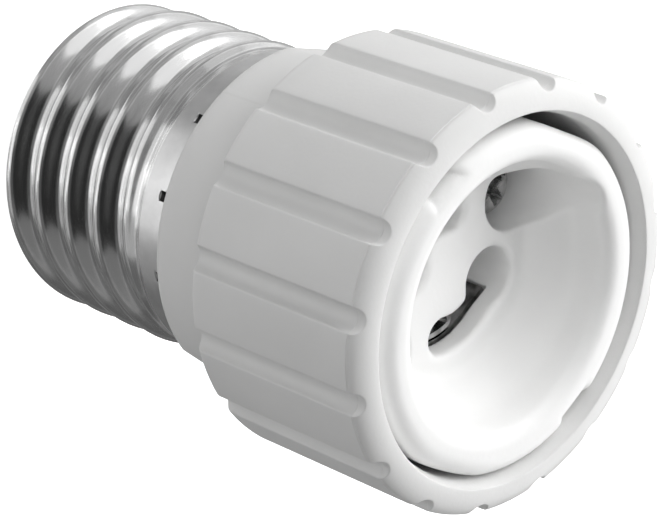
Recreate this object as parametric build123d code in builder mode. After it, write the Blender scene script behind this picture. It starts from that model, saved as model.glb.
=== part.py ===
from build123d import *
import math
import os

os.makedirs("parts", exist_ok=True)

# Lamp socket adapter: screw cap below, twist-lock lamp socket above, axis along Z, tip of the cap at Z = 0.
# Grip body
grip_dia = 34.3
grip_length = 17.9
groove_count = 16
groove_depth = 0.95
groove_floor_r = 1.0
groove_lip_r = 0.3
back_round = 0.9
rim_height = 1.2
mouth_round = 0.55
# Neck and spigot that carry the screw shell
neck_dia = 28.7
neck_length = 6.9
neck_flat_depth = 0.55
neck_flat_angles = (15.5, 41.0, 195.5, 221.0)
spigot_wall = 0.7
spigot_nose_length = 5.2
seat_depth = 13.9
floor_thickness = 2.0
boss_dia = 6.4
boss_length = 6.0
# Screw shell of thin sheet
shell_length = 23.3
shell_sheet = 0.35
collar_step = 0.25
collar_length = 3.6
collar_taper = 0.6
thread_crest_dia = 26.2
thread_depth = 1.1
thread_pitch = 3.629
thread_lead_in = 2.0
thread_run_out = 2.4
thread_levels = 8
crest_angle = 130.15
crest_height = 7.28
shoulder_length = 3.3
shoulder_width = 3.45
shoulder_plain = 1.3
shoulder_sway = 0.5
lip_width = 0.5
stake_count = 12
stake_angle = 5.7
stake_below_edge = 1.6
stake_width = 1.1
stake_height = 0.75
stake_depth = 0.5
# Nose insulator and centre contact
tip_height = 1.2
nose_height = 2.5
tip_dia = 9.2
tip_edge = 0.5
tip_crown = 0.3
nose_end_dia = 10.4
stem_dia = 2.4
stem_flange_dia = 4.0
stem_flange_height = 0.6
nose_flange_width = 0.8
nose_flange_height = 2.9
# Ceramic socket insert
insert_drop = 0.2
insert_dia = 27.9
insert_flat_depth = 0.5
insert_flat_angle = 28.5
cup_dia = 21.4
cup_depth = 7.0
bevel_height = 3.3
bevel_floor_dia = 16.6
rim_out_share = 0.455
rim_in_share = 0.365
notch_width = 2.4
notch_depth = 0.95
notch_height = 2.2
floor_ledge = 2.0
pin_circle_dia = 10.0
pin_entry_dia = 5.2
pin_slot_width = 3.2
pin_angle = 52.0
pocket_web = 2.4
pocket_side = 3.55
screw_wall = 0.75
# Fixing screws
screw_spacing = 17.0
screw_clamp = 2.6
screw_head_dia = 5.0
screw_head_height = 1.9
head_round = 1.1
screw_dia = 2.9
screw_length = 9.6
screw_point = 1.6
recess_width = 0.9
recess_span = 3.2
recess_depth = 1.0
# Contact springs, rivets and leads
strip_sheet = 0.4
strip_r = 6.5
strip_gap = 0.2
strip_turn = 50.0
curl_from = 12.0
curl_r = 0.5
curl_turn = 95.0
curl_end = 1.1
foot_length = 2.6
foot_from = 2.2
rivet_x = 1.9
rivet_y = 3.4
rivet_dia = 1.3
rivet_head_dia = 2.2
rivet_head = 0.45
lead_dia = 1.5
lead_end = 3.0
# Clearances
insert_play = 0.45
spigot_play = 0.05
hole_play = 0.15
thread_bite = 0.04
lip_play = 0.2
spigot_gap = 0.35
pocket_play = 0.27
strip_play = 0.25
head_play = 0.45

# Heights worked out from the tip upward
lip_z = tip_height + nose_height
neck_z = lip_z + shell_length
back_z = neck_z + neck_length
rim_z = back_z + grip_length
seat_z = rim_z - seat_depth
under_z = seat_z - floor_thickness
insert_z = rim_z - insert_drop
cup_z = insert_z - cup_depth
bevel_z = cup_z + bevel_height
ledge_z = cup_z - floor_ledge
head_z = seat_z + screw_clamp
collar_z = neck_z - collar_length
thread_top = collar_z - collar_taper
stake_z = neck_z - stake_below_edge

# Radii worked out from the dimensions above
grip_r = grip_dia / 2
insert_r = insert_dia / 2
mouth_r = insert_r + insert_play
rim_r = mouth_r + mouth_round
cup_r = cup_dia / 2
rim_out = (insert_r - cup_r) * rim_out_share
rim_in = (insert_r - cup_r) * rim_in_share
neck_r = neck_dia / 2
crest_r = thread_crest_dia / 2
root_r = crest_r - thread_depth
thread_mean_r = (crest_r + root_r) / 2
thread_wave = (crest_r - root_r) / 2
collar_r = crest_r - collar_step
spigot_r = collar_r - shell_sheet - spigot_play
spigot_nose_r = root_r - shell_sheet - spigot_gap
core_r = spigot_nose_r - spigot_wall
lip_r = thread_mean_r - shoulder_width
lip_hole_r = lip_r - lip_width
shoulder_slope = shoulder_length / shoulder_width
strip_end = pocket_side - pocket_play
pocket_r = math.hypot(strip_end, strip_r + strip_sheet / 2) + pocket_play
well_r = screw_head_dia / 2 + head_play
pin_r = pin_circle_dia / 2
screw_x = screw_spacing / 2


# Points along a quarter round or a flatter quarter oval, in a few even steps
def curve(centre_r, centre_z, radius_r, radius_z, start, end, steps):
    turns = [math.radians(start + (end - start) * step / steps) for step in range(steps + 1)]
    return [(centre_r + radius_r * math.cos(turn), centre_z + radius_z * math.sin(turn)) for turn in turns]


# Grip, neck and spigot are one white moulding
lip_y = math.sqrt(grip_r ** 2 - (groove_floor_r + groove_lip_r) ** 2)
floor_y = grip_r - groove_depth + groove_floor_r
lip_x = math.sqrt((groove_floor_r + groove_lip_r) ** 2 - (floor_y - lip_y + groove_lip_r) ** 2)
share = groove_lip_r / (groove_floor_r + groove_lip_r)
join_x = lip_x * (1 - share)
join_y = lip_y - groove_lip_r + (floor_y - lip_y + groove_lip_r) * share
with BuildSketch() as groove:
    with BuildLine():
        Line((-lip_x, grip_r + 1), (-lip_x, lip_y))
        RadiusArc((-lip_x, lip_y), (-join_x, join_y), groove_lip_r)
        ThreePointArc((-join_x, join_y), (0, grip_r - groove_depth), (join_x, join_y))
        RadiusArc((join_x, join_y), (lip_x, lip_y), groove_lip_r)
        Line((lip_x, lip_y), (lip_x, grip_r + 1))
        Line((lip_x, grip_r + 1), (-lip_x, grip_r + 1))
    make_face()
with BuildPart() as housing:
    with BuildSketch(Plane.XZ):
        with BuildLine():
            Polyline(
                (0, back_z),
                *curve(grip_r - back_round, back_z + back_round, back_round, back_round, -90, 0, 2),
                *curve(rim_r, rim_z - rim_height, grip_r - rim_r, rim_height, 0, 90, 4),
                *curve(rim_r, rim_z - mouth_round, mouth_round, mouth_round, 90, 180, 3)[1:],
                (mouth_r, seat_z),
                (0, seat_z),
                close=True,
            )
        make_face()
    revolve(axis=Axis.Z)
    # Finger grooves run the length of the grip and fade out on the rounded rim
    with BuildSketch(Plane.XY.offset(back_z)):
        with PolarLocations(0, groove_count, start_angle=-90):
            add(groove.sketch)
    extrude(amount=grip_length, mode=Mode.SUBTRACT)
    # Neck with four shallow flats
    with BuildSketch(Plane.XY.offset(neck_z)):
        Circle(neck_r)
        for angle in neck_flat_angles:
            with Locations(Rot(0, 0, angle) * Pos(1.5 * neck_r - neck_flat_depth, 0)):
                Rectangle(neck_r, neck_dia, mode=Mode.SUBTRACT)
    extrude(amount=neck_length)
    # Spigot inside the shell, with a ring groove that takes the stake marks
    with BuildSketch(Plane.XZ):
        with BuildLine():
            groove_half = stake_height / 2 + shell_sheet + hole_play
            groove_r = collar_r - shell_sheet - stake_depth - hole_play
            Polyline(
                (0, neck_z),
                (spigot_r, neck_z),
                (spigot_r, stake_z + groove_half),
                (groove_r, stake_z + groove_half),
                (groove_r, stake_z - groove_half),
                (spigot_r, stake_z - groove_half),
                (spigot_r, collar_z),
                (spigot_nose_r, collar_z),
                (spigot_nose_r, collar_z - spigot_nose_length),
                (0, collar_z - spigot_nose_length),
                close=True,
            )
        make_face()
    revolve(axis=Axis.Z)
    # Hollow core for the leads, open at the spigot end
    with BuildSketch(Plane.XY.offset(collar_z - spigot_nose_length)):
        Circle(core_r)
    extrude(amount=under_z - collar_z + spigot_nose_length, mode=Mode.SUBTRACT)
    # Bosses that take the fixing screws
    with BuildSketch(Plane.XY.offset(under_z - boss_length)):
        with Locations((screw_x, 0), (-screw_x, 0)):
            Circle(boss_dia / 2)
    extrude(amount=boss_length)
    with BuildSketch(Plane.XY.offset(under_z - boss_length)):
        with Locations((screw_x, 0), (-screw_x, 0)):
            Circle(screw_dia / 2 + thread_bite)
    extrude(amount=boss_length + floor_thickness, mode=Mode.SUBTRACT)
    # Rivet holes for the two contact springs
    with BuildSketch(Plane.XY.offset(under_z)):
        with Locations((-rivet_x, -rivet_y), (rivet_x, rivet_y)):
            Circle(rivet_dia / 2 + thread_bite)
    extrude(amount=floor_thickness, mode=Mode.SUBTRACT)
housing.part.label = "housing"
export_step(housing.part, "parts/housing.step")

# Ceramic insert: open cup, bevel, flat floor with two keyholes and two screw wells
with BuildPart() as socket_insert:
    with BuildSketch(Plane.XZ):
        with BuildLine():
            Polyline(
                (0, seat_z),
                (insert_r, seat_z),
                *curve(insert_r - rim_out, insert_z - rim_out, rim_out, rim_out, 0, 90, 4),
                *curve(cup_r + rim_in, insert_z - rim_in, rim_in, rim_in, 90, 180, 3),
                (cup_r, bevel_z),
                (bevel_floor_dia / 2, cup_z),
                (0, cup_z),
                close=True,
            )
        make_face()
    revolve(axis=Axis.Z)
    # Two flats across the round body, and a shallow notch in the rim on each side
    with BuildSketch(Plane.XY.offset(seat_z)):
        with PolarLocations(1.5 * insert_r - insert_flat_depth, 2, start_angle=insert_flat_angle):
            Rectangle(insert_r, insert_dia)
    extrude(amount=seat_depth, mode=Mode.SUBTRACT)
    with BuildSketch(Plane.XY.offset(insert_z)):
        with Locations((0, insert_r), (0, -insert_r)):
            Rectangle(notch_width, 2 * notch_depth)
    extrude(amount=-notch_height, mode=Mode.SUBTRACT)
    # Pockets below the floor, one for each contact, kept apart by a web
    with BuildSketch(Plane.XY.offset(seat_z)):
        Circle(pocket_r)
        Rectangle(2 * pocket_r, pocket_web, mode=Mode.SUBTRACT)
        with Locations((screw_x, 0), (-screw_x, 0)):
            Circle(well_r + screw_wall, mode=Mode.SUBTRACT)
        with Locations((pocket_side + pocket_r / 2, -pocket_r / 2), (-pocket_side - pocket_r / 2, pocket_r / 2)):
            Rectangle(pocket_r, pocket_r, mode=Mode.SUBTRACT)
    extrude(amount=ledge_z - seat_z, mode=Mode.SUBTRACT)
    # Keyholes on the pin circle: round entry, then a curved slot for the twist
    with BuildSketch(Plane.XY.offset(ledge_z)):
        with PolarLocations(0, 2):
            with BuildLine(mode=Mode.PRIVATE) as pin_path:
                CenterArc((0, 0), pin_r, -180 + pin_angle, 180 - 2 * pin_angle)
            SlotArc(pin_path.edge(), pin_slot_width)
    extrude(amount=floor_ledge, mode=Mode.SUBTRACT)
    with BuildSketch(Plane.XY.offset(seat_z)):
        with PolarLocations(pin_r, 2, start_angle=-pin_angle):
            Circle(pin_entry_dia / 2)
    extrude(amount=cup_z - seat_z, mode=Mode.SUBTRACT)
    # Screw wells cut the floor, the bevel and a little of the cup wall
    with BuildSketch(Plane.XY.offset(head_z)):
        with Locations((screw_x, 0), (-screw_x, 0)):
            Circle(well_r)
    extrude(amount=insert_z - head_z, mode=Mode.SUBTRACT)
    with BuildSketch(Plane.XY.offset(seat_z)):
        with Locations((screw_x, 0), (-screw_x, 0)):
            Circle(screw_dia / 2 + hole_play)
    extrude(amount=screw_clamp, mode=Mode.SUBTRACT)
socket_insert.part.label = "socket_insert"
export_step(socket_insert.part, "parts/socket_insert.step")

# Rolled screw shell: at each level the section is a circle whose centre goes round the axis once per pitch
thread_start = lip_z + shoulder_plain
path_length = thread_top - thread_start
level_count = round(thread_levels * path_length / thread_pitch / 2) * 2
levels = []
for level in range(level_count + 1):
    z = thread_start + path_length * level / level_count
    lead = min(1, (z - thread_start) / thread_lead_in)
    grow = min(lead, (thread_top - z) / thread_run_out)
    wave = thread_wave * grow * grow * (3 - 2 * grow) + shoulder_sway * 4 * lead * (1 - lead)
    turn = math.radians(crest_angle + 360 * (z - crest_height) / thread_pitch)
    radius = min(thread_mean_r, lip_r + (z - lip_z) / shoulder_slope)
    levels.append((Plane((wave * math.cos(turn), wave * math.sin(turn), z)), radius))
with BuildPart() as screw_shell:
    # The cone of the shoulder leans with the last turn and runs straight into the thread
    with BuildSketch(Plane.XY.offset(lip_z)):
        Circle(lip_r)
    for level, radius in levels:
        with BuildSketch(level):
            Circle(radius)
    loft(ruled=True)
    # Plain collar above the thread
    with BuildSketch(Plane.XZ):
        with BuildLine():
            Polyline(
                (0, thread_top),
                (thread_mean_r, thread_top),
                (collar_r, collar_z),
                (collar_r, neck_z),
                (0, neck_z),
                close=True,
            )
        make_face()
    revolve(axis=Axis.Z)
    # The sheet follows the same wave inside
    with BuildSketch(Plane.XY.offset(lip_z + shell_sheet)):
        Circle(lip_r)
    for level, radius in levels[::2]:
        with BuildSketch(level):
            Circle(radius - shell_sheet)
    loft(ruled=True, mode=Mode.SUBTRACT)
    with BuildSketch(Plane.XZ):
        with BuildLine():
            Polyline(
                (0, thread_top),
                (thread_mean_r - shell_sheet, thread_top),
                (collar_r - shell_sheet, collar_z),
                (collar_r - shell_sheet, neck_z),
                (0, neck_z),
                close=True,
            )
        make_face()
    revolve(axis=Axis.Z, mode=Mode.SUBTRACT)
    # Round hole in the lip for the insulator
    with BuildSketch(Plane.XY.offset(lip_z)):
        Circle(lip_hole_r)
    extrude(amount=shell_sheet, mode=Mode.SUBTRACT)
    # Square stake marks punched round the collar into the ring groove of the spigot
    with Locations((0, 0, stake_z)):
        with PolarLocations(collar_r - shell_sheet / 2, stake_count, start_angle=stake_angle):
            Box(
                stake_depth + shell_sheet / 2,
                stake_width + 2 * shell_sheet,
                stake_height + 2 * shell_sheet,
                align=(Align.MAX, Align.CENTER, Align.CENTER),
            )
        with PolarLocations(collar_r - stake_depth, stake_count, start_angle=stake_angle):
            Box(
                2 * stake_depth,
                stake_width,
                stake_height,
                align=(Align.MIN, Align.CENTER, Align.CENTER),
                mode=Mode.SUBTRACT,
            )
screw_shell.part.label = "screw_shell"
export_step(screw_shell.part, "parts/screw_shell.step")

# Insulating nose that closes the shell and carries the centre contact
flange_r = lip_r + nose_flange_width
flange_z = lip_z + nose_flange_height
seat_lip_z = lip_z + shell_sheet
with BuildPart() as tip_insulator:
    with BuildSketch(Plane.XZ):
        with BuildLine():
            Polyline(
                (stem_dia / 2 + spigot_play, tip_height),
                (nose_end_dia / 2, tip_height),
                (lip_hole_r - lip_play, lip_z - lip_play),
                (lip_hole_r - lip_play, seat_lip_z),
                (lip_r - lip_play, seat_lip_z),
                (flange_r, seat_lip_z + nose_flange_width * shoulder_slope + lip_play),
                (flange_r, flange_z),
                (stem_dia / 2 + spigot_play, flange_z),
                close=True,
            )
        make_face()
    revolve(axis=Axis.Z)
tip_insulator.part.label = "tip_insulator"
export_step(tip_insulator.part, "parts/tip_insulator.step")

# Centre contact: crowned disc with a stem riveted over above the insulator
tip_r = tip_dia / 2
face_r = tip_r - tip_edge
with BuildPart() as tip_contact:
    with BuildSketch(Plane.XZ):
        with BuildLine():
            Polyline(
                (0, 0),
                (face_r / 3, 0),
                (face_r * 2 / 3, tip_crown / 3),
                *curve(face_r, tip_crown + tip_edge, tip_edge, tip_edge, -90, 0, 2),
                (tip_r, tip_height),
                (stem_dia / 2, tip_height),
                (stem_dia / 2, flange_z),
                (stem_flange_dia / 2, flange_z),
                (stem_flange_dia / 2, flange_z + stem_flange_height),
                (0, flange_z + stem_flange_height),
                close=True,
            )
        make_face()
    revolve(axis=Axis.Z)
tip_contact.part.label = "tip_contact"
export_step(tip_contact.part, "parts/tip_contact.step")

# Pan-head screws that hold the insert down on the floor of the housing
with BuildPart() as fixing_screws:
    with BuildSketch(Plane.XZ):
        with BuildLine():
            head_r = screw_head_dia / 2
            top_z = head_z + screw_head_height
            point_z = head_z - screw_length
            Polyline(
                (0, point_z),
                (screw_dia / 2, point_z + screw_point),
                (screw_dia / 2, head_z),
                (head_r, head_z),
                *curve(head_r - head_round, top_z - head_round, head_round, head_round, 0, 90, 3),
                (0, top_z),
                close=True,
            )
        make_face()
    revolve(axis=Axis.Z)
    with Locations((0, 0, top_z)):
        Box(recess_span, recess_width, 2 * recess_depth, mode=Mode.SUBTRACT)
        Box(recess_width, recess_span, 2 * recess_depth, mode=Mode.SUBTRACT)
screw_pair = [Pos(screw_x, 0) * fixing_screws.part, Pos(-screw_x, 0) * Rot(0, 0, 30) * fixing_screws.part]
screw_set = Compound(children=screw_pair)
screw_set.label = "fixing_screws"
export_step(screw_set, "parts/fixing_screws.step")

# Contact springs of upright strip: a leaf along the pocket wall, folded back beside itself and curled at the end
leaf_r = strip_r - strip_sheet - strip_gap
strip_height = ledge_z - strip_play - seat_z
foot_reach = leaf_r - foot_from
with BuildPart() as contact_spring_a:
    with BuildSketch(Plane.XY.offset(seat_z)):
        with BuildLine():
            leaf = CenterArc((0, 0), leaf_r, -90 - strip_turn, strip_turn - curl_from)
            curl = JernArc(leaf @ 1, leaf % 1, curl_r, curl_turn)
            Line(curl @ 1, curl @ 1 + (curl % 1) * curl_end)
            JernArc(leaf @ 0, -(leaf % 0), (strip_r - leaf_r) / 2, 180)
            CenterArc((0, 0), strip_r, -90 - strip_turn, strip_turn)
            Line((0, -strip_r), (strip_end, -strip_r))
        trace(line_width=strip_sheet)
    extrude(amount=strip_height)
    # Foot bent in below the curl, riveted to the floor
    with BuildSketch(Plane.XY.offset(seat_z)):
        with Locations((-rivet_x, -foot_from - foot_reach / 2)):
            Rectangle(foot_length, foot_reach)
        with Locations((-rivet_x, -rivet_y)):
            Circle(rivet_dia / 2 + thread_bite, mode=Mode.SUBTRACT)
    extrude(amount=strip_sheet)
contact_spring_a.part.label = "contact_spring_a"
export_step(contact_spring_a.part, "parts/contact_spring_a.step")
contact_spring_b = Rot(0, 0, 180) * contact_spring_a.part
contact_spring_b.label = "contact_spring_b"
export_step(contact_spring_b, "parts/contact_spring_b.step")

# Rivets through the foot of each spring and the floor
with BuildPart() as contact_rivets:
    with BuildSketch(Plane.XZ):
        with BuildLine():
            rivet_r = rivet_dia / 2
            Polyline(
                (0, under_z - rivet_head),
                (rivet_head_dia / 2, under_z - rivet_head),
                (rivet_head_dia / 2, under_z),
                (rivet_r, under_z),
                (rivet_r, seat_z + strip_sheet),
                (rivet_head_dia / 2, seat_z + strip_sheet),
                (rivet_r, seat_z + strip_sheet + rivet_head),
                (0, seat_z + strip_sheet + rivet_head),
                close=True,
            )
        make_face()
    revolve(axis=Axis.Z)
rivet_pair = [Pos(-rivet_x, -rivet_y) * contact_rivets.part, Pos(rivet_x, rivet_y) * contact_rivets.part]
rivet_set = Compound(children=rivet_pair)
rivet_set.label = "contact_rivets"
export_step(rivet_set, "parts/contact_rivets.step")

# Insulated leads from the rivets to the centre contact and to the shell
rivet_turn = math.degrees(math.atan2(rivet_y, rivet_x))
rivet_ring = math.hypot(rivet_x, rivet_y)
lead_start = under_z - rivet_head
lead_stop = flange_z + stem_flange_height
wall_r = root_r - shell_sheet - lead_dia / 2 - hole_play
nose_z = collar_z - spigot_nose_length
tip_bend_z = (lead_start + lead_stop) / 2
wall_bend_z = nose_z + lead_dia
wall_end_z = (nose_z + lead_stop) / 2
wall_stop = wall_end_z - lead_end
with BuildPart() as lead_to_tip:
    with BuildLine(Plane.XZ.rotated((0, 0, 180 + rivet_turn))) as tip_route:
        Polyline(
            (rivet_ring, lead_start),
            (rivet_ring, tip_bend_z),
            (0, lead_stop + lead_end),
            (0, lead_stop),
        )
    with BuildSketch(Plane.XY.offset(lead_start)):
        with Locations((-rivet_x, -rivet_y)):
            Circle(lead_dia / 2)
    sweep(path=tip_route.line, transition=Transition.RIGHT)
lead_to_tip.part.label = "lead_to_tip"
export_step(lead_to_tip.part, "parts/lead_to_tip.step")
with BuildPart() as lead_to_shell:
    with BuildLine(Plane.XZ.rotated((0, 0, rivet_turn))) as wall_route:
        Polyline(
            (rivet_ring, lead_start),
            (rivet_ring, wall_bend_z),
            (wall_r, wall_end_z),
            (wall_r, wall_stop),
        )
    with BuildSketch(Plane.XY.offset(lead_start)):
        with Locations((rivet_x, rivet_y)):
            Circle(lead_dia / 2)
    sweep(path=wall_route.line, transition=Transition.RIGHT)
lead_to_shell.part.label = "lead_to_shell"
export_step(lead_to_shell.part, "parts/lead_to_shell.step")
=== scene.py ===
import bpy
import math
import numpy as np
from mathutils import Matrix, Vector


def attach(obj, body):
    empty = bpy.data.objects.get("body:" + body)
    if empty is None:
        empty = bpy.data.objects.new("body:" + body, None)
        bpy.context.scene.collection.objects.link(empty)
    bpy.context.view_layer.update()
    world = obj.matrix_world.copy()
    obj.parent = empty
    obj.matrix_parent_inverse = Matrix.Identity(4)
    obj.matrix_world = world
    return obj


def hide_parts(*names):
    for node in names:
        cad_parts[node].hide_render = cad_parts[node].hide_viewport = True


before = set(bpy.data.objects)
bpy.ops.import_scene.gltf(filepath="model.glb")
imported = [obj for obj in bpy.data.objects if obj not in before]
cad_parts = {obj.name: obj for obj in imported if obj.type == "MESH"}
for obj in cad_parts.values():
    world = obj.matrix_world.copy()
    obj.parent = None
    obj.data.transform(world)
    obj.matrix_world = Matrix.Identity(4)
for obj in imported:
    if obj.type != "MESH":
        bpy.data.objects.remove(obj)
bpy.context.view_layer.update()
scene = bpy.context.scene
MM = 0.001

# Sizes in millimetres and degrees, as in the part's source apart from small edges
# Grip of the housing, with its grooves, rim and mouth
grip_r = 17.15
groove_count = 16
groove_depth = 0.95
groove_floor_r = 1.0
groove_lip_r = 0.2
groove_blend = 0.16
back_z = 33.9
back_round = 0.9
rim_z = 51.8
rim_height = 1.2
parting_z = 50.78
parting_r = 16.0
parting_depth = 0.05
parting_half = 0.07
mouth_r = 14.4
mouth_edge_r = 14.87
mouth_edge_round = 0.1
mouth_edge_drop = 0.12
mouth_lead_in = 1.3
seat_z = 37.9
wall_row_gap = 1.2
mouth_row_gap = 1.8
# Neck of the housing
neck_r = 14.35
neck_z = 27.0
neck_flat_r = 13.8
neck_flat_angles = (15.5, 41.0, 195.5, 221.0)
neck_flat_blend = 0.05
neck_foot = ((2.0, 0.0), (1.0, 0.0), (0.35, 0.0), (0.1, 0.09), (0.0, 0.35))
neck_fillet = 0.3
seam_angles = (86.0, 266.0)
seam_height = 0.02
seam_half_angle = 0.9
# Ceramic insert
insert_z = 51.6
insert_r = 13.95
insert_flat_r = 13.45
insert_far_flat_r = 13.75
insert_flat_angle = 28.5
insert_flat_blend = 0.5
insert_sway = (-0.12, -0.22)
insert_wall_r = 11.4
insert_wall_ramp = 1.3
notch_half = 1.2
notch_floor = 13.3
notch_z = 49.4
notch_blend = 1.2
cup_r = 10.7
cup_z = 44.6
bevel_z = 47.9
bevel_floor_r = 8.3
floor_bend = 0.8
bevel_bend = 0.9
rim_out = 1.48
rim_in = 1.19
ledge_z = 42.6
slot_below_ledge = 1
pin_r = 5.0
pin_entry_r = 2.5
pin_slot_half = 1.5
pin_angle = 52.0
pin_blend = 0.6
well_r = 2.95
well_blend = 0.3
post_wall = 0.75
screw_hole_r = 1.6
pocket_r = 7.74
pocket_web = 1.2
pocket_side = 3.55
skin_step = 0.2
skin_low = (-14.3, -14.3, 37.6)
skin_high = (14.3, 14.3, 52.2)
# Screw shell
lip_z = 3.7
lip_r = 9.1
lip_hole_r = 8.6
shoulder_slope = 3.3 / 3.45
shoulder_plain = 1.3
shoulder_sway = 0.5
thread_mean_r = 12.55
thread_wave = 0.55
thread_pitch = 3.629
thread_lead_in = 2.0
thread_run_out = 2.4
thread_top = 22.8
collar_z = 23.4
collar_r = 12.85
crest_angle = 130.15
crest_height = 7.28
shell_sheet = 0.35
shell_columns = 384
stake_z = 25.4
stake_count = 12
stake_angle = 5.7
stake_width = 0.62
stake_height = 0.5
stake_depth = 0.45
stake_slope = 0.22
# Depth below the collar radius past which faces in the stake dents get painted shade
stake_shade_depth = 0.1
# Insulating nose and centre contact
nose_z = 1.2
nose_bore_r = 4.4
nose_end_r = 5.0
nose_cone_r = 5.2
nose_cone_z = 1.35
nose_cone_slope = 0.69
nose_wall_r = 8.4
nose_wall_z = 3.6
nose_top_z = 4.0
tip_crown = ((0.0, 0.0), (1.3, 0.0), (2.4, 0.08), (3.4, 0.2), (4.0, 0.3))
tip_r = 4.6
tip_edge_r = 0.5
tip_edge_z = 0.8
turned_columns = 96
# Fixing screws
screw_x = 8.5
screw_rolls = ((1, 0.0), (-1, 30.0))
shank_r = 1.45
shank_length = 1.8
head_z = 40.5
head_top = 42.4
head_r = 2.5
head_round = 1.1
recess_half = 0.42
recess_reach = 1.55
recess_depth = 0.95
recess_slope = 0.3


# Materials
def shader(name):
    material = bpy.data.materials.new(name)
    material.use_nodes = True
    tree = material.node_tree
    return material, tree, tree.nodes["Principled BSDF"]


def node(tree, kind, **values):
    made = tree.nodes.new(kind)
    for key, value in values.items():
        made.inputs[key].default_value = value
    return made


def noise(tree, scale, detail=4.0, stretch=(1, 1, 1)):
    coords = node(tree, "ShaderNodeTexCoord")
    place = node(tree, "ShaderNodeMapping", Scale=stretch)
    made = node(tree, "ShaderNodeTexNoise", Scale=scale, Detail=detail)
    tree.links.new(coords.outputs["Object"], place.inputs["Vector"])
    tree.links.new(place.outputs["Vector"], made.inputs["Vector"])
    return made.outputs["Fac"]


def ramp(tree, source, low, high, start=0.3, end=0.7):
    made = node(tree, "ShaderNodeValToRGB")
    for element, position, colour in zip(made.color_ramp.elements, (start, end), (low, high)):
        element.position = position
        element.color = (*colour, 1)
    tree.links.new(source, made.inputs["Fac"])
    return made.outputs["Color"]


def moulded(name, low, high, rough, grain, depth, metallic=0.0, stretch=(1, 1, 1), patch=90.0):
    material, tree, bsdf = shader(name)
    tint = ramp(tree, noise(tree, patch, 3.0), low, high)
    tree.links.new(tint, bsdf.inputs["Base Color"])
    fine = noise(tree, grain, 5.0, stretch)
    shine = node(tree, "ShaderNodeMapRange")
    shine.inputs["To Min"].default_value, shine.inputs["To Max"].default_value = rough
    tree.links.new(fine, shine.inputs["Value"])
    tree.links.new(shine.outputs["Result"], bsdf.inputs["Roughness"])
    bump = node(tree, "ShaderNodeBump", Strength=1.0, Distance=depth)
    tree.links.new(fine, bump.inputs["Height"])
    tree.links.new(bump.outputs["Normal"], bsdf.inputs["Normal"])
    bsdf.inputs["Metallic"].default_value = metallic
    return material


def metal(name, low, high, rough, grain, depth, **more):
    return moulded(name, (low,) * 3, (high,) * 3, rough, grain, depth, metallic=1.0, **more)


plastic = moulded("white_plastic", (0.77, 0.77, 0.765), (0.82, 0.82, 0.815), (0.36, 0.5), 3000.0, 1.2e-5)
ceramic = moulded("ceramic_glaze", (0.91, 0.91, 0.906), (0.95, 0.95, 0.946), (0.3, 0.44), 2200.0, 1e-5)
nickel = metal("rolled_nickel", 0.86, 0.93, (0.13, 0.24), 1500.0, 1.5e-6, stretch=(1, 1, 9))
tin = moulded("tip_solder", (0.6, 0.6, 0.59), (0.75, 0.75, 0.74), (0.25, 0.45), 900.0, 1e-5, 1.0)
steel = metal("screw_zinc", 0.3, 0.75, (0.12, 0.26), 1400.0, 8e-6, patch=900.0)
# Spring and rivet metal tint swings in blotches from dark to bright: painted highlights and reflections
bronze = metal("spring_plate_painted_glints", 0.12, 0.85, (0.08, 0.2), 1500.0, 4e-6, patch=650.0)
satin = metal("collar_nickel", 0.8, 0.92, (0.24, 0.42), 2600.0, 4e-6, patch=500.0)
# Near-black metal for the stake dents: painted shade where the deep dents fall dark
stake_shade = metal("stake_painted_shade", 0.05, 0.09, (0.3, 0.5), 1500.0, 4e-6)
black = moulded("nose_insulator", (0.02, 0.02, 0.021), (0.035, 0.035, 0.036), (0.35, 0.55), 2500.0, 1e-5)
brown = moulded("lead_brown", (0.13, 0.06, 0.03), (0.18, 0.08, 0.04), (0.4, 0.55), 1200.0, 1e-5)
blue = moulded("lead_blue", (0.03, 0.09, 0.3), (0.05, 0.13, 0.38), (0.4, 0.55), 1200.0, 1e-5)


# Mesh helpers, all sizes in millimetres
def smooth_mesh(name, points, faces, material):
    mesh = bpy.data.meshes.new(name)
    mesh.from_pydata([tuple(point) for point in np.asarray(points) * MM], [], faces)
    mesh.update()
    mesh.shade_smooth()
    mesh.materials.append(material)
    made = bpy.data.objects.new(name, mesh)
    scene.collection.objects.link(made)
    return made


def piece(name, points, faces, material, slot, stands_for, sharp=50.0):
    made = smooth_mesh(name, points, faces, material)
    if sharp:
        made.data.set_sharp_from_angle(angle=math.radians(sharp))
    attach(made, "root")
    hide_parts(stands_for)
    return made


def wrap(rows, columns, start=0):
    faces = []
    for row in range(rows - 1):
        low = start + row * columns
        for column in range(columns):
            after = (column + 1) % columns
            faces.append((low + column, low + after, low + columns + after, low + columns + column))
    return faces


def full_turn(columns):
    return np.linspace(0, 2 * math.pi, columns, endpoint=False)


def around(radius, height, turn):
    x, y = radius * np.cos(turn), radius * np.sin(turn)
    return np.stack([x, y, np.broadcast_to(height, turn.shape)], -1)


def arc(centre_r, centre_z, radius, start, end, steps):
    sweep = np.radians(np.linspace(start, end, steps + 1))
    return [(centre_r + radius * math.cos(t), centre_z + radius * math.sin(t)) for t in sweep]


def lathe(profile, columns):
    axis_r = 0.0004
    points = np.concatenate([around(max(r, axis_r), z, full_turn(columns)) for r, z in profile])
    return points, wrap(len(profile), columns)


def ease(x):
    x = np.clip(x, 0, 1)
    return x * x * (3 - 2 * x)


def soft_min(a, b, width):
    mix = np.clip(width - np.abs(a - b), 0, None) / width
    return np.minimum(a, b) - mix * mix * width * 0.25


def soft_max(a, b, width):
    return -soft_min(-a, -b, width)


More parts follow.
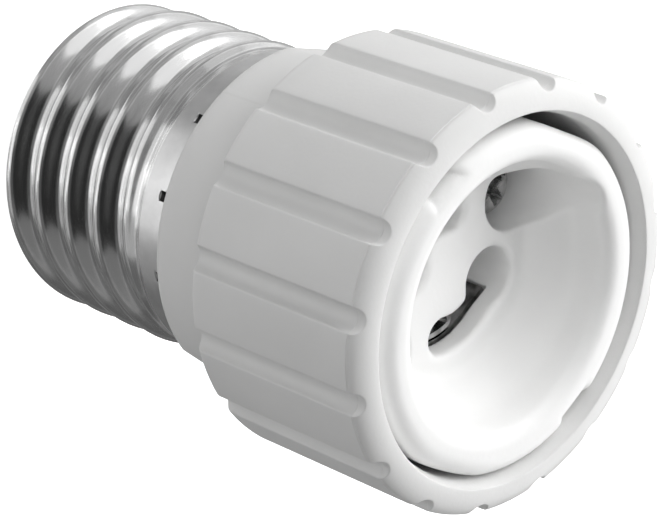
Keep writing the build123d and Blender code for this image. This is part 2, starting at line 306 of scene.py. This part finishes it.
# Ribbed housing: one skin of columns round the axis, with grooves cut into the radius
lip_y = math.sqrt(grip_r ** 2 - (groove_floor_r + groove_lip_r) ** 2)
floor_y = grip_r - groove_depth + groove_floor_r
lip_cy = lip_y - groove_lip_r
lip_x = math.sqrt((groove_floor_r + groove_lip_r) ** 2 - (floor_y - lip_cy) ** 2)
share = groove_lip_r / (groove_floor_r + groove_lip_r)
join_x = lip_x * (1 - share)
join_y = lip_cy + (floor_y - lip_cy) * share
join_turn = math.atan2(join_x, join_y)
lip_turn = math.atan2(lip_x, lip_y)
half_step = math.pi / groove_count


def groove_radius(offset):
    side = np.abs(offset)
    inside = np.clip(groove_floor_r ** 2 - (floor_y * np.sin(side)) ** 2, 0, None)
    deep = floor_y * np.cos(side) - np.sqrt(inside)
    across = groove_lip_r ** 2 - (lip_x * np.cos(side) - lip_cy * np.sin(side)) ** 2
    lip = lip_x * np.sin(side) + lip_cy * np.cos(side) + np.sqrt(np.clip(across, 0, None))
    lip = np.where(side < lip_turn, np.minimum(lip, grip_r), grip_r)
    return np.where(side < join_turn, deep, lip)


floor_sweep = np.linspace(0, math.asin(join_x / groove_floor_r), 15)
floor_turns = np.arctan2(groove_floor_r * np.sin(floor_sweep), floor_y - groove_floor_r * np.cos(floor_sweep))
lip_turns = np.linspace(join_turn, lip_turn, 8)[1:]
rib_turns = np.linspace(lip_turn, half_step, 8)[1:]
half_turns = np.concatenate([floor_turns, lip_turns, rib_turns])
offsets = np.concatenate([-half_turns[:0:-1], half_turns])[1:]
turns = np.concatenate([offsets + 2 * half_step * index for index in range(groove_count)])
grooves = np.tile(groove_radius(offsets), groove_count)

profile = [(neck_r + 0.35, back_z)]
profile += [(r, back_z) for r in np.linspace(neck_r + 0.6, grip_r - back_round, 4)]
profile += arc(grip_r - back_round, back_z + back_round, back_round, -90, 0, 10)[1:]
profile += [(grip_r, back_z + back_round + wall_row_gap), (grip_r, rim_z - rim_height - wall_row_gap)]
# Oval rim, with close rows where the grooves run out and wider ones on its top
for step in np.concatenate([np.linspace(0, 0.71, 57), np.linspace(0.71, 1, 8)[1:]]):
    t = step ** 1.3 * math.pi / 2
    oval_r = mouth_edge_r + (grip_r - mouth_edge_r) * math.cos(t)
    profile.append((oval_r, rim_z - rim_height + rim_height * math.sin(t)))
profile += arc(mouth_edge_r, rim_z - mouth_edge_round, mouth_edge_round, 90, 165, 5)[1:]
for t in np.linspace(0, 1, 6):
    lead_in_r = mouth_edge_r - mouth_edge_round - (mouth_edge_r - mouth_edge_round - mouth_r) * t
    profile.append((lead_in_r, rim_z - mouth_edge_drop - (mouth_lead_in - mouth_edge_drop) * t))
profile += [(mouth_r, rim_z - mouth_lead_in - mouth_row_gap), (mouth_r, seat_z)]
profile += [(r, seat_z) for r in (12.0, 8.0, 4.0, 0.4)]

# Neck below the grip, with its flats and the fine line where the mould halves met
flats = np.full(turns.shape, neck_r)
for angle in neck_flat_angles:
    away = np.cos(turns - math.radians(angle))
    cut = soft_min(flats, neck_flat_r / np.maximum(away, 0.5), neck_flat_blend)
    flats = np.where(away > 0.5, cut, flats)
for angle in seam_angles:
    away = np.abs((np.degrees(turns) - angle + 180) % 360 - 180)
    flats = flats + seam_height * np.clip(1 - away / seam_half_angle, 0, 1)
rows = [around(flats - drop, neck_z + rise, turns) for drop, rise in neck_foot]
rows += [around(flats, z, turns) for z in (neck_z + wall_row_gap, back_z - neck_fillet - 0.1)]
for t in np.radians((30, 60, 90)):
    fillet_z = back_z - neck_fillet + neck_fillet * math.sin(t)
    rows.append(around(flats + neck_fillet * (1 - math.cos(t)), fillet_z, turns))
groove_reach_r = grip_r - groove_depth - 0.4
for r, z in profile:
    radius = np.full(turns.shape, r)
    if r > groove_reach_r:
        radius = soft_min(radius, grooves, groove_blend)
    if r > parting_r and z > rim_z - 2:
        radius = radius - parting_depth * max(0.0, 1 - abs(z - parting_z) / parting_half)
    rows.append(around(radius, z, turns))
piece("housing_body", np.concatenate(rows), wrap(len(rows), len(turns)), plastic, "housing", "housing")

# Ceramic insert: distance field of the cup, cut by keyholes and screw wells, meshed as a smooth skin
slant = np.array([cup_r - bevel_floor_r, bevel_z - cup_z])
slant = slant / math.hypot(*slant)
cup_profile = [(-1.0, cup_z)]
for corner, before, after in (
        ((bevel_floor_r, cup_z), (-floor_bend, 0.0), slant * floor_bend),
        ((cup_r, bevel_z), -slant * bevel_bend, (0.0, bevel_bend))):
    for t in np.linspace(0, 1, 7):
        bend = np.array(corner) + np.array(before) * (1 - t) ** 2 + np.array(after) * t ** 2
        cup_profile.append((float(bend[0]), float(bend[1])))
cup_profile += arc(cup_r + rim_in, insert_z - rim_in, rim_in, 180, 90, 14)
cup_profile += arc(insert_r - rim_out, insert_z - rim_out, rim_out, 90, 0, 14)
cup_profile += [(insert_r, seat_z), (-1.0, seat_z)]


def polygon_distance(px, pz, outline):
    best = np.full(px.shape, 1e9)
    inside = np.zeros(px.shape, bool)
    for (ax, az), (bx, bz) in zip(outline, outline[1:] + outline[:1]):
        ex, ez = bx - ax, bz - az
        t = np.clip(((px - ax) * ex + (pz - az) * ez) / (ex * ex + ez * ez), 0, 1)
        best = np.minimum(best, (px - ax - t * ex) ** 2 + (pz - az - t * ez) ** 2)
        if bz != az:
            cross = (az > pz) != (bz > pz)
            inside ^= cross & (px < ax + (pz - az) / (bz - az) * ex)
    return np.where(inside, -1, 1) * np.sqrt(best)


# The cup's distance is looked up in a fine table over radius and height
table_steps = 400
field_r = np.linspace(-0.2, 15.0, table_steps)
field_z = np.linspace(37.4, 52.4, table_steps)
field = polygon_distance(*np.meshgrid(field_r, field_z, indexing="ij"), cup_profile)


def cup_distance(r, z):
    u = np.clip((r - field_r[0]) / (field_r[1] - field_r[0]), 0, len(field_r) - 1.001)
    v = np.clip((z - field_z[0]) / (field_z[1] - field_z[0]), 0, len(field_z) - 1.001)
    i, j = u.astype(int), v.astype(int)
    u, v = u - i, v - j
    low = field[i, j] * (1 - u) + field[i + 1, j] * u
    high = field[i, j + 1] * (1 - u) + field[i + 1, j + 1] * u
    return low * (1 - v) + high * v


def insert_distance(x, y, z):
    r = np.hypot(x, y)
    # Two flats: the section moves inward where the wall is cut back
    turn = np.arctan2(y, x) - math.radians(insert_flat_angle)
    edge = np.full(x.shape, insert_r)
    for flat_r, facing in ((insert_flat_r, np.cos(turn)), (insert_far_flat_r, -np.cos(turn))):
        edge = soft_min(edge, flat_r / np.maximum(facing, 0.5), insert_flat_blend)
    edge = edge + (insert_sway[0] * x + insert_sway[1] * y) / np.maximum(r, 1)
    body = cup_distance(r + (insert_r - edge) * ease((r - insert_wall_r) / insert_wall_ramp), z)
    notch = np.maximum(np.abs(x) - notch_half, np.maximum(notch_floor - np.abs(y), notch_z - z))
    body = soft_max(body, -notch, notch_blend)
    # Keyholes, turned half round for the second: round entry, then the curved slot above the pocket
    side = np.where(y > 0, -1.0, 1.0)
    kx, ky = x * side, y * side
    entry_x = pin_r * math.cos(math.radians(pin_angle))
    entry_y = -pin_r * math.sin(math.radians(pin_angle))
    entry = np.hypot(kx - entry_x, ky - entry_y)
    end = np.minimum(entry, np.hypot(kx + entry_x, ky - entry_y))
    along = np.abs(np.degrees(np.arctan2(ky, kx)) + 90) < 90 - pin_angle
    slot = np.where(along, np.abs(r - pin_r), end) - pin_slot_half
    slot = np.maximum(slot, ledge_z - slot_below_ledge - z)
    body = soft_max(body, -soft_min(entry - pin_entry_r, slot, pin_blend), pin_blend)
    post = np.hypot(np.abs(x) - screw_x, y)
    pocket = np.maximum(np.maximum(r - pocket_r, pocket_web + ky), np.maximum(kx - pocket_side, z - ledge_z))
    pocket = np.maximum(pocket, well_r + post_wall - post)
    body = np.maximum(body, -pocket)
    body = soft_max(body, -np.maximum(post - well_r, head_z - z), well_blend)
    return np.maximum(body, screw_hole_r - post)


def skin_of(distance, low, high, step):
    passes, probe, most, least_slope, slack = 6, 0.01, 0.1, 0.2, 0.75
    axes = [np.arange(a, b, step) for a, b in zip(low, high)]
    solid = distance(*np.meshgrid(*axes, indexing="ij")) < 0
    nx, ny, nz = (count - 1 for count in solid.shape)
    corners = [solid[i:nx + i, j:ny + j, k:nz + k] for i in (0, 1) for j in (0, 1) for k in (0, 1)]
    total = sum(corner.astype(np.int8) for corner in corners)
    active = (total > 0) & (total < 8)
    index = np.full(active.shape, -1)
    index[active] = np.arange(active.sum())
    # One point for each cell that the skin crosses, drawn onto the skin but kept near its cell
    centre = np.array(low) + (np.argwhere(active) + 0.5) * step
    points = centre
    for _ in range(passes):
        d = distance(*points.T)
        slope = np.stack([distance(*(points + shift).T) - d for shift in np.eye(3) * probe], -1) / probe
        reach = np.clip(d, -most, most) / np.maximum((slope ** 2).sum(-1), least_slope)
        points = points - slope * reach[:, None]
    points = np.clip(points, centre - step * slack, centre + step * slack)
    # One face for each grid edge that passes through the skin
    faces = []
    for axis in range(3):
        a, b = [other for other in range(3) if other != axis]
        here, there = [slice(None)] * 3, [slice(None)] * 3
        here[axis], there[axis] = slice(0, -1), slice(1, None)
        spots = np.argwhere(solid[tuple(here)] != solid[tuple(there)])
        keep = (spots[:, a] > 0) & (spots[:, b] > 0)
        keep &= (spots[:, a] < solid.shape[a] - 1) & (spots[:, b] < solid.shape[b] - 1)
        spots = spots[keep]
        first = solid[tuple(here)][tuple(spots.T)]
        quad = []
        for da, db in ((1, 1), (0, 1), (0, 0), (1, 0)):
            spot = spots.copy()
            spot[:, a] -= da
            spot[:, b] -= db
            quad.append(index[tuple(spot.T)])
        quad = np.stack(quad, -1)
        flip = first if axis != 1 else ~first
        quad[~flip] = quad[~flip][:, ::-1]
        faces.append(quad)
    return points, np.concatenate(faces).tolist()


points, faces = skin_of(insert_distance, skin_low, skin_high, skin_step)
piece("socket_insert_glazed", points, faces, ceramic, "ceramic", "socket_insert", 0)

# Rolled screw shell: a circle whose centre goes round the axis once per pitch, with a soft rolled lip
turn = full_turn(shell_columns)


def shell_row(z):
    lead = np.clip((z - lip_z - shoulder_plain) / thread_lead_in, 0, 1)
    grow = min(lead, max((thread_top - z) / thread_run_out, 0))
    wave = thread_wave * ease(grow) + shoulder_sway * 4 * lead * (1 - lead)
    swing = math.radians(crest_angle + 360 * (z - crest_height) / thread_pitch)
    radius = min(thread_mean_r, lip_r + (z - lip_z) / shoulder_slope)
    x = wave * math.cos(swing) + radius * np.cos(turn)
    y = wave * math.sin(swing) + radius * np.sin(turn)
    return np.stack([x, y, np.full(shell_columns, z)], -1)


def collar_row(z):
    radius = np.full(shell_columns, collar_r)
    for index in range(stake_count):
        middle = math.radians(stake_angle + 360 / stake_count * index)
        side = (turn - middle + math.pi) % (2 * math.pi) - math.pi
        wide = ease((stake_width / 2 - np.abs(side) * collar_r) / stake_slope + 0.5)
        tall = ease((stake_height / 2 - abs(z - stake_z)) / stake_slope + 0.5)
        radius = radius - stake_depth * wide * tall
    return around(radius, z, turn)


rows = [around(lip_hole_r, lip_z + shell_sheet, turn), around(lip_hole_r, lip_z + 0.06, turn)]
rows += [around(lip_hole_r + 0.08, lip_z, turn), around(lip_r - 0.05, lip_z, turn)]
rows += [shell_row(z) for z in np.linspace(lip_z + 0.1, thread_top, 170)]
for z in np.linspace(thread_top + 0.1, collar_z, 6):
    widen = ease((z - thread_top) / (collar_z - thread_top))
    rows.append(around(thread_mean_r + (collar_r - thread_mean_r) * widen, z, turn))
rows += [collar_row(z) for z in np.linspace(collar_z + 0.15, neck_z - 0.01, 34)]
points, faces = np.concatenate(rows), wrap(len(rows), shell_columns)
shell = piece("screw_shell_rolled", points, faces, nickel, "shell", "screw_shell", 60.0)
# Collar faces take the satin metal; faces deep in the stake dents take near-black metal as painted shade
shell.data.materials.append(satin)
shell.data.materials.append(stake_shade)
for face in shell.data.polygons:
    if face.center.z > collar_z * MM:
        dent_shaded = math.hypot(face.center.x, face.center.y) < (collar_r - stake_shade_depth) * MM
        face.material_index = 2 if dent_shaded else 1

# Insulating nose and centre contact
profile = [(nose_bore_r, nose_z), (nose_end_r, nose_z), (nose_cone_r, nose_cone_z)]
profile += [(r, nose_cone_z + (r - nose_cone_r) * nose_cone_slope) for r in (6.0, 7.0, 8.0, 8.3)]
profile += [(nose_wall_r, nose_wall_z), (nose_wall_r, nose_top_z)]
piece("nose_moulded", *lathe(profile, turned_columns), black, "insulator", "tip_insulator")
profile = [*tip_crown, *arc(tip_r - tip_edge_r, tip_edge_z, tip_edge_r, -80, 0, 6)]
profile += [(tip_r, nose_z - 0.02), (tip_r - 0.3, nose_z)]
piece("tip_contact_crowned", *lathe(profile, turned_columns), tin, "contact", "tip_contact")

# Pan-head screws with a cross recess
turn = full_turn(turned_columns)
head_profile = arc(head_r - head_round, head_top - head_round, head_round, 0, 90, 10)
head_profile += [(r, head_top) for r in np.linspace(1.35, 0.02, 22)]
points, faces = [], []
for sign, roll in screw_rolls:
    start = sum(len(block) for block in points)
    rows = [around(shank_r, head_z - shank_length, turn), around(shank_r, head_z - 0.02, turn)]
    rows.append(around(head_r - 0.05, head_z, turn))
    for r, z in head_profile:
        x = np.abs(r * np.cos(turn - math.radians(roll)))
        y = np.abs(r * np.sin(turn - math.radians(roll)))
        bar = np.maximum(x - recess_reach, y - recess_half)
        cross = np.minimum(bar, np.maximum(y - recess_reach, x - recess_half))
        rows.append(around(r, z - recess_depth * ease(0.5 - cross / recess_slope), turn))
    block = np.concatenate(rows)
    block[:, 0] += sign * screw_x
    points.append(block)
    faces += wrap(len(rows), turned_columns, start)
piece("fixing_screws_pan", np.concatenate(points), faces, steel, "screws", "fixing_screws")

# CAD pieces that show as they are
for name, material in (("contact_spring_a", bronze), ("contact_spring_b", bronze), ("contact_rivets", bronze),
                       ("lead_to_tip", brown), ("lead_to_shell", blue)):
    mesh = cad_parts[name].data
    mesh.materials.clear()
    mesh.materials.append(material)

# Soft light: square panels on a sphere round the part, by elevation, with azimuth and brightness of each
panel_width = 0.52
light_centre = Vector((0, 0, 0.03))
mirror_panels = (
    (50, ((0, 0.47), (36, 1.19), (108, 0.05), (144, 0.05), (324, 1.55))),
    (25, ((15, 2.2), (45, 0.8), (75, 0.28), (195, 0.15), (225, 0.15), (255, 1.05), (285, 1.98), (315, 0.7),
          (345, 1.67))),
    (0, ((0, 0.7), (30, 0.55), (60, 0.3), (90, 0.25), (120, 0.15), (150, 0.06), (180, 0.1), (210, 0.12),
         (240, 0.08), (270, 0.2), (300, 0.25), (330, 0.7))),
    (-25, ((15, 0.4), (45, 0.25), (75, 0.2), (105, 0.62), (135, 0.85), (165, 0.36), (195, 0.1), (225, 0.08),
           (255, 0.1), (285, 0.2), (315, 0.4), (345, 0.4))),
    (-50, ((0, 0.4), (36, 0.25), (72, 0.17), (108, 0.55), (144, 0.65), (180, 0.2), (216, 0.09), (252, 0.1),
           (288, 0.2), (324, 0.4))),
    (-75, ((15, 0.3), (105, 0.65), (195, 0.25), (285, 0.3))),
)
fill_panels = (
    (50, ((36, 0.87), (108, 1.26), (144, 1.05), (324, 1.51))),
    (25, ((15, 1.44), (45, 1.15), (105, 0.44), (195, 0.2), (225, 0.26), (285, 0.89), (315, 0.89),
          (345, 0.19))),
    (0, ((270, 0.5),)),
    (-25, ((15, 0.95), (105, 0.18), (225, 0.14), (270, 0.25), (315, 0.4))),
    (-50, ((180, 0.83), (216, 0.5), (270, 0.3), (324, 0.2))),
    (-75, ((240, 0.35),)),
)


def soft_light(name, azimuth, elevation, glow, seen, reach):
    data = bpy.data.lights.new(name, "AREA")
    data.shape = "SQUARE"
    data.size = panel_width * reach
    data.energy = glow * math.pi * data.size ** 2
    made = bpy.data.objects.new(name, data)
    a, e = math.radians(azimuth), math.radians(elevation)
    away = Vector((math.cos(a) * math.cos(e), math.sin(a) * math.cos(e), math.sin(e)))
    made.location = light_centre + away * reach
    made.rotation_mode = "QUATERNION"
    made.rotation_quaternion = (-away).to_track_quat("-Z", "Y")
    made.visible_glossy = seen
    scene.collection.objects.link(made)


# Mirror panels show in the metal, and fill panels behind them only light the rest
for name, rows, seen, reach in (("mirror", mirror_panels, True, 0.5), ("fill", fill_panels, False, 0.53)):
    for elevation, row in rows:
        for azimuth, glow in row:
            soft_light("%s_%d_%d" % (name, elevation, azimuth), azimuth, elevation, glow, seen, reach)

# White paper sweep: flat under the part, then curving up to a far wall
floor_z = -0.3
bend_start = 1400.0
bend_r = 600.0
wall_r = bend_start + bend_r
sweep = [(r, floor_z) for r in (0.5, 40.0, 150.0, 400.0, 900.0, bend_start)]
sweep += arc(bend_start, floor_z + bend_r, bend_r, -85, 0, 16)
sweep += [(wall_r, 1200.0), (wall_r, 2500.0)]
paper, tree, bsdf = shader("pale_paper")
tint = ramp(tree, noise(tree, 40.0), (0.93, 0.93, 0.93), (0.96, 0.96, 0.96))
tree.links.new(tint, bsdf.inputs["Base Color"])
tree.links.new(tint, bsdf.inputs["Emission Color"])
bsdf.inputs["Emission Strength"].default_value = 0.9
bsdf.inputs["Roughness"].default_value = 0.9
floor = smooth_mesh("floor", *lathe(sweep, turned_columns), paper)
floor.visible_glossy = False
floor.visible_diffuse = False
floor.visible_shadow = False

world = bpy.data.worlds.new("studio")
world.use_nodes = True
world.node_tree.nodes["Background"].inputs["Color"].default_value = (0.02, 0.02, 0.02, 1)
scene.world = world
scene.view_settings.view_transform = "Standard"
scene.view_settings.look = "None"

# Camera at the photograph's viewing angle
camera_at = Vector((-81.2792, 163.3689, 194.1031)) * MM
camera_look = Vector((0.325731, -0.674574, -0.662457))
camera_up = Vector((0.735907, 0.62079, -0.270298))
camera_right = camera_look.cross(camera_up)
lens = bpy.data.cameras.new("photo_camera")
lens.sensor_width = 36.0
lens.sensor_fit = "HORIZONTAL"
lens.lens = 168.164
lens.clip_start = 0.01
lens.clip_end = 20.0
camera = bpy.data.objects.new("photo_camera", lens)
camera.matrix_world = Matrix((
    (camera_right.x, camera_up.x, -camera_look.x, camera_at.x),
    (camera_right.y, camera_up.y, -camera_look.y, camera_at.y),
    (camera_right.z, camera_up.z, -camera_look.z, camera_at.z),
    (0, 0, 0, 1),
))
scene.collection.objects.link(camera)
scene.camera = camera
